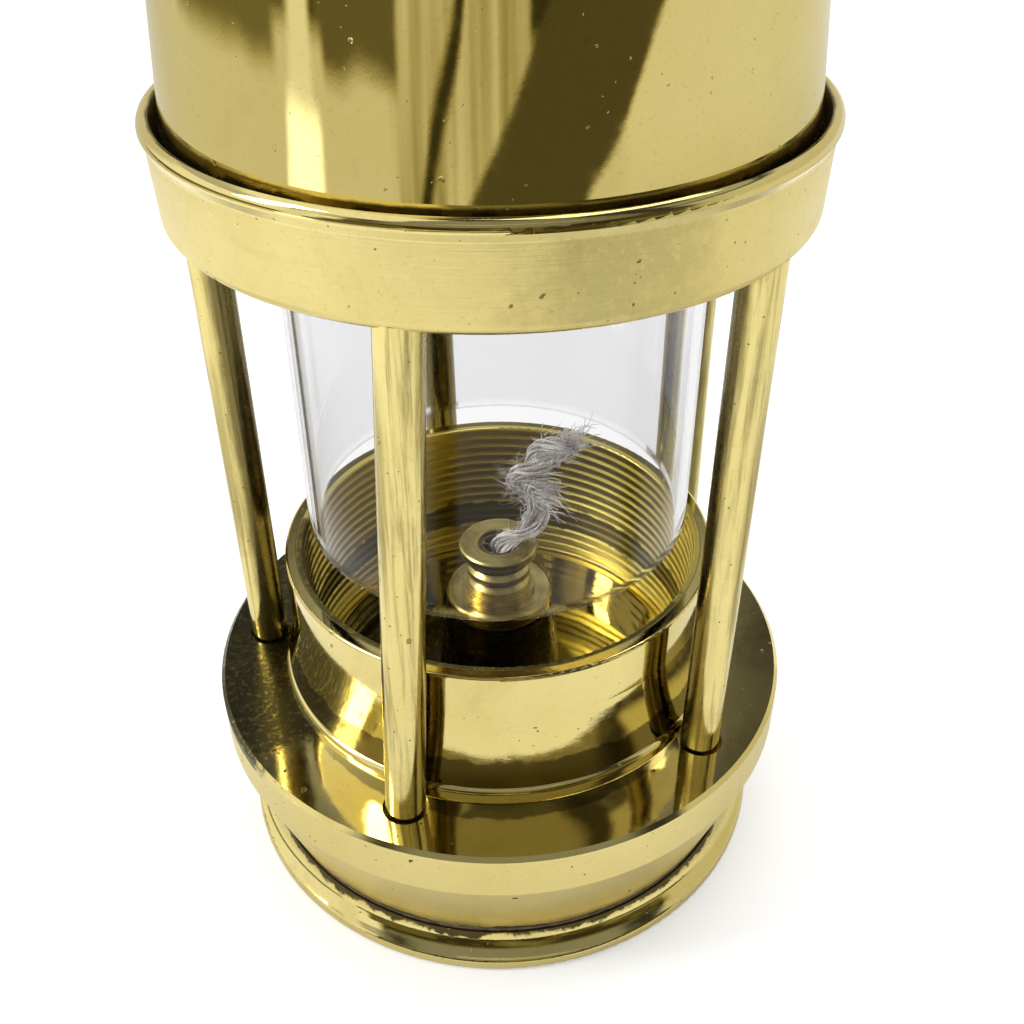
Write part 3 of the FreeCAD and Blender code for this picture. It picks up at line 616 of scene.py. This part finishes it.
def seen_in_metal(net, path):
    """1 where something is seen mirrored in the metal, 0 where the eye or the soft light sees it."""
    mirrored = net.math("GREATER_THAN", path.outputs["Glossy Depth"], 0.5)
    return net.math("MULTIPLY", path.outputs["Is Glossy Ray"], mirrored)


def table_shadow(net, where):
    """Painted shadow on the table, seen only in the metal: at both sides, in a patch in front and under
    the lantern.
    """
    split = net.add("SeparateXYZ", {0: where})
    ring = ring_of(net, split)
    front = net.math("ABSOLUTE", net.math("DIVIDE", split.outputs[1], ring))
    beside = net.times(net.spread(front, 0.30, 0.72, 1.0, 0.0),
                       net.spread(ring, 0.080, 0.100), net.spread(ring, 0.13, 0.17, 1.0, 0.0))
    patch = net.add("VectorMath", {0: net.stretched(where, (1.0, 1.9, 1.0)), 1: (0.080, -0.285, 0.0)},
                    operation="DISTANCE").outputs["Value"]
    patch = net.spread(patch, 0.030, 0.062, 1.0, 0.0)
    under = net.spread(ring, 0.044, 0.058, 1.0, 0.0)
    darkest = net.math("MAXIMUM", net.times(beside, 0.45), net.times(patch, 0.55))
    return net.math("MAXIMUM", darkest, net.times(under, 0.12))


NEAR_FLOOR, FAR_FLOOR = 0.30, 3.0


def make_floor():
    """Pale paper, with painted shadows that only the metal sees."""
    material, net, shader = new_material("paper_floor")
    where = net.add("TexCoord").outputs["Object"]
    path = net.add("LightPath")
    paper = net.blend(net.noise(where, 9.0), rgba(PAPER_DARK), rgba(PAPER_PALE))
    # Painted shadow, seen only in the metal.
    dark = net.times(table_shadow(net, where), seen_in_metal(net, path))
    net.plug(shader.inputs["Base Color"], net.blend(dark, paper, rgba(TABLE_SHADOW)))
    shader.inputs["Roughness"].default_value = 0.9
    shader.inputs["Emission Color"].default_value = rgba(WHITE)
    net.plug(shader.inputs["Emission Strength"], net.times(path.outputs["Is Camera Ray"], 0.25))
    disc("floor_near", 0.0, NEAR_FLOOR, material)
    far = disc("floor_far", NEAR_FLOOR, FAR_FLOOR, material)
    far.visible_glossy = False


# How bright the metal's room and the soft light are, the room's own shade and the table's beyond
# the near floor.
ROOM_LIGHT = 1.1
SOFT_LIGHT = 0.95
ROOM_SHADE = 0.075
TABLE_SHADE = 0.66
# The degrees above the horizon between which the room gives way to the table.
TABLE_EDGE = (-7.5, -5.5)
# How many degrees the cards' edges wander sideways and up and down.
SWAY, BOB = 12.0, 2.0
# What the metal sees round the studio: (name, turn from, turn to, low, high, lean, blur, shade).
# Turn is degrees from the front towards +X, low and high are degrees above the horizon, lean is
# how far the card's sides slide round for each degree that they rise, and blur is how many degrees
# its edges take to fade.
CARDS = (
    ("high left", -145, -48, 2, 30, 0.0, 3.0, 0.95),
    ("high right", 66, 140, 2, 38, 0.0, 3.0, 0.62),
    ("paper behind", 112, 232, -14, 30, 0.0, 8.0, 0.62),
    ("right wall", 42, 168, -14, 4, 0.0, 5.0, 0.74),
    ("left room", -120, -72, -8.6, 3, 0.0, 2.0, 0.17),
    ("ceiling", -35, 50, 22, 78, 0.0, 7.0, 0.25),
    ("left wall", -150, -50, 30, 43, 0.0, 4.0, 0.50),
    ("left glow", -150, -38, 43, 78, 0.0, 6.0, 0.95),
    ("front glow", -20, 30, 42, 47, 0.0, 1.2, 0.50),
    ("right glow", 72, 140, 42, 55, 0.0, 3.0, 0.42),
    ("rear glow", 168, 192, 36, 50, 0.0, 4.0, 0.55),
    ("window post", -67, -59, -10, 40, 0.0, 1.6, 0.85),
    ("window", -68, -57, -30, -10, 0.0, 1.6, 1.9),
    ("shirt", -30, 12, -16, -1, 0.0, 1.6, 0.54),
    ("box", -54, -27, -8.2, 14, 0.0, 1.6, 0.13),
    ("coat", 34, 74, -16, 3, 3.2, 1.6, 0.080),
    ("collar", -10, -7, -20, 6, 0.8, 1.0, 0.04),
)


def room_shade(net, toward, turn, rise):
    """How bright the room is in each direction: a dim wall, the table and the cards over them."""
    dim = net.spread(net.noise(toward, 3.2, 3.0), 0.45, 0.75, ROOM_SHADE * 0.5, ROOM_SHADE * 3.0)
    table = net.spread(rise, *TABLE_EDGE, 1.0, 0.0)
    shade = net.add("Mix", {0: table, 2: dim, 3: TABLE_SHADE}).outputs[0]
    folds = net.noise(net.stretched(toward, (8.0, 8.0, 0.8)), 1.2, 2.0, 0.5)
    for name, left, right, low, high, lean, blur, level in CARDS:
        slid = net.math("SUBTRACT", turn, net.times(rise, lean))
        if right > 180:
            slid = net.plus(slid, net.times(net.math("LESS_THAN", slid, 0.0), 360.0))
        card = net.times(net.between(slid, left, right, blur), net.between(rise, low, high, blur * 0.6))
        if name == "shirt":
            level = net.times(net.spread(folds, 0.3, 0.7, 0.6, 1.25), level)
        shade = net.add("Mix", {0: card, 2: shade, 3: level}).outputs[0]
    return shade


def make_world():
    """White all round for the eye and the soft light; metal also sees the darker side of the room."""
    world = bpy.data.worlds.new("studio")
    world.use_nodes = True
    scene.world = world
    net = Nodes(world.node_tree)
    toward = net.add("TexCoord").outputs["Generated"]
    split = net.add("SeparateXYZ", {0: toward})
    sway = net.math("SUBTRACT", net.noise(toward, 2.6, 1.0, 0.4), 0.5)
    bob = net.math("SUBTRACT", net.noise(toward, 3.4, 1.0, 0.4), 0.5)
    turn = net.plus(turn_of(net, split), net.times(sway, SWAY))
    rise = net.times(net.math("ARCSINE", split.outputs[2]), 180.0 / math.pi)
    rise = net.plus(rise, net.times(bob, BOB))
    shade = room_shade(net, toward, turn, rise)
    warmth = net.math("MAXIMUM", net.spread(shade, 0.05, 0.95), net.spread(rise, 18.0, 30.0))
    tint = net.blend(warmth, rgba(ROOM_TINT), rgba(WHITE))
    room = net.blend(1.0, tint, net.times(shade, ROOM_LIGHT), "MULTIPLY")
    path = net.add("LightPath")
    lit = net.blend(path.outputs["Is Camera Ray"], rgba((SOFT_LIGHT,) * 3), rgba(WHITE))
    colour = net.blend(seen_in_metal(net, path), lit, room)
    backdrop = net.add("Background", {"Color": colour, "Strength": 1.0})
    output = net.add("OutputWorld")
    world.node_tree.links.new(backdrop.outputs[0], output.inputs[0])


def area_light(name, spot, target, width, length, power):
    light = bpy.data.lights.new(name, "AREA")
    light.shape = "RECTANGLE"
    light.size = width
    light.size_y = length
    light.energy = power
    lamp = bpy.data.objects.new(name, light)
    lamp.location = spot
    lamp.rotation_euler = (Vector(target) - Vector(spot)).to_track_quat("-Z", "Y").to_euler()
    scene.collection.objects.link(lamp)


# ---------------------------------------------------------------- the scene

make_camera()
make_world()
make_floor()
area_light("key", (-0.55, -0.10, 0.50), (0, 0, 0.07), 0.16, 0.40, 2.2)
area_light("overhead", (0.15, 0.25, 0.95), (0, 0, 0.05), 0.6, 0.6, 3.0)

smooth_cad()

# Dull black lines of old polish are this strong; the one at the cup's foot is fainter.
CRUSTED = 0.93
# The cup's threaded bore lies within this distance from the axis.
CUP_BORE = 0.0258
# Further from the axis than any part of the rings and the bonnet.
RING_EDGE = 0.040

dress(brass("polished_brass"), "font_base_plate", "collar_lock_ring", "pillar_nuts", "glass_holder",
      "holder_screws", "bonnet_collar", "crown", "crown_screws", "eye_socket", "hanging_eye", "eye_nut")
dress(brass("font_brass", rough=0.06, pits=0.5, grime=[Crease(0.0041, 0.0054, 0.0345, CRUSTED)]),
      "font_shell")
# The dish: painted dark reflection round the burner and over a stretch from its left round to its front.
dress(brass("dish_brass", rough=0.06, tarnish=0.5, waviness=0.6, dull=0.6, soot_and_shade_reach=0.0118,
            painted_dark=Stretch(-150, 26, 0.0, 0.0225, 0.0, 0.97)), "font_top_plate")
# The cup's threaded wall: painted shade across its front, above the dish.
dress(brass("cup_brass", rough=0.055, pits=0.5, lathe_within=CUP_BORE,
            grime=[Crease(0.0255, 0.0294, 0.031, 0.74)],
            painted_dark=Stretch(-98, 60, 0.0, CUP_BORE, 0.0100, 0.88)), "collar_cup")
dress(brass("bead_brass", rough=0.06, pits=0.3), "collar_bead")
dress(brass("bonnet_brass", rough=0.04, waviness=0.12, pits=0.35, tarnish=0.2,
            grime=[Crease(0.0970, 0.0984, RING_EDGE, CRUSTED)]), "bonnet_shell")
dress(brass("pillar_brass", rough=0.13, pits=0.6, tarnish=0.5, streaky=0.75, soot_and_shade_reach=0.0322),
      "pillar_1", "pillar_2", "pillar_3", "pillar_4", "pillar_5")
# The base ring's top: a painted dark reflection on its left.
dress(brass("base_ring_brass", brushed=0.9, pits=0.9, satin_band=(0.0052, 0.0239),
            grime=[Crease(0.0045, 0.0058, RING_EDGE, CRUSTED)],
            painted_dark=Stretch(-150, -52, 0.0285, RING_EDGE, 0.0228, 0.96)), "base_ring")
# The gallery ring: a faint painted dark reflection just right of the front.
dress(brass("gallery_brass", brushed=1.0, satin_band=(0.0885, 0.0968),
            grime=[Crease(0.0960, 0.0995, 0.03395, CRUSTED)],
            painted_dark=Stretch(6, 30, 0.0, RING_EDGE, 0.0, 0.26)), "gallery_ring")
dress(lathe_brass("lathe_brass"), "burner_tip", "burner_sleeve")
dress(brass("sooty_brass", rough=0.2, waviness=0.2, soot_and_shade_reach=0.0040), "wick_tube")
dress(lathe_brass("plug_brass", 0.24), "burner_plug")
# The burner's boss is darkened all over: painted shade and painted dark reflection on its side.
dress(brass("boss_brass", rough=0.16, tarnish=0.6, dull=0.8, soot_and_shade_reach=0.0110), "burner_boss")
dress(glass_material(), "glass")
dress(grained_material("pressed_fibre", (0.16, 0.11, 0.07), 900.0), "burner_washer", "font_gasket",
      "bonnet_pad", "glass_pad")
dress(grained_material("cork", (0.42, 0.28, 0.16), 600.0), "glass_sleeve")
make_wick()

scene.view_settings.view_transform = "Standard"
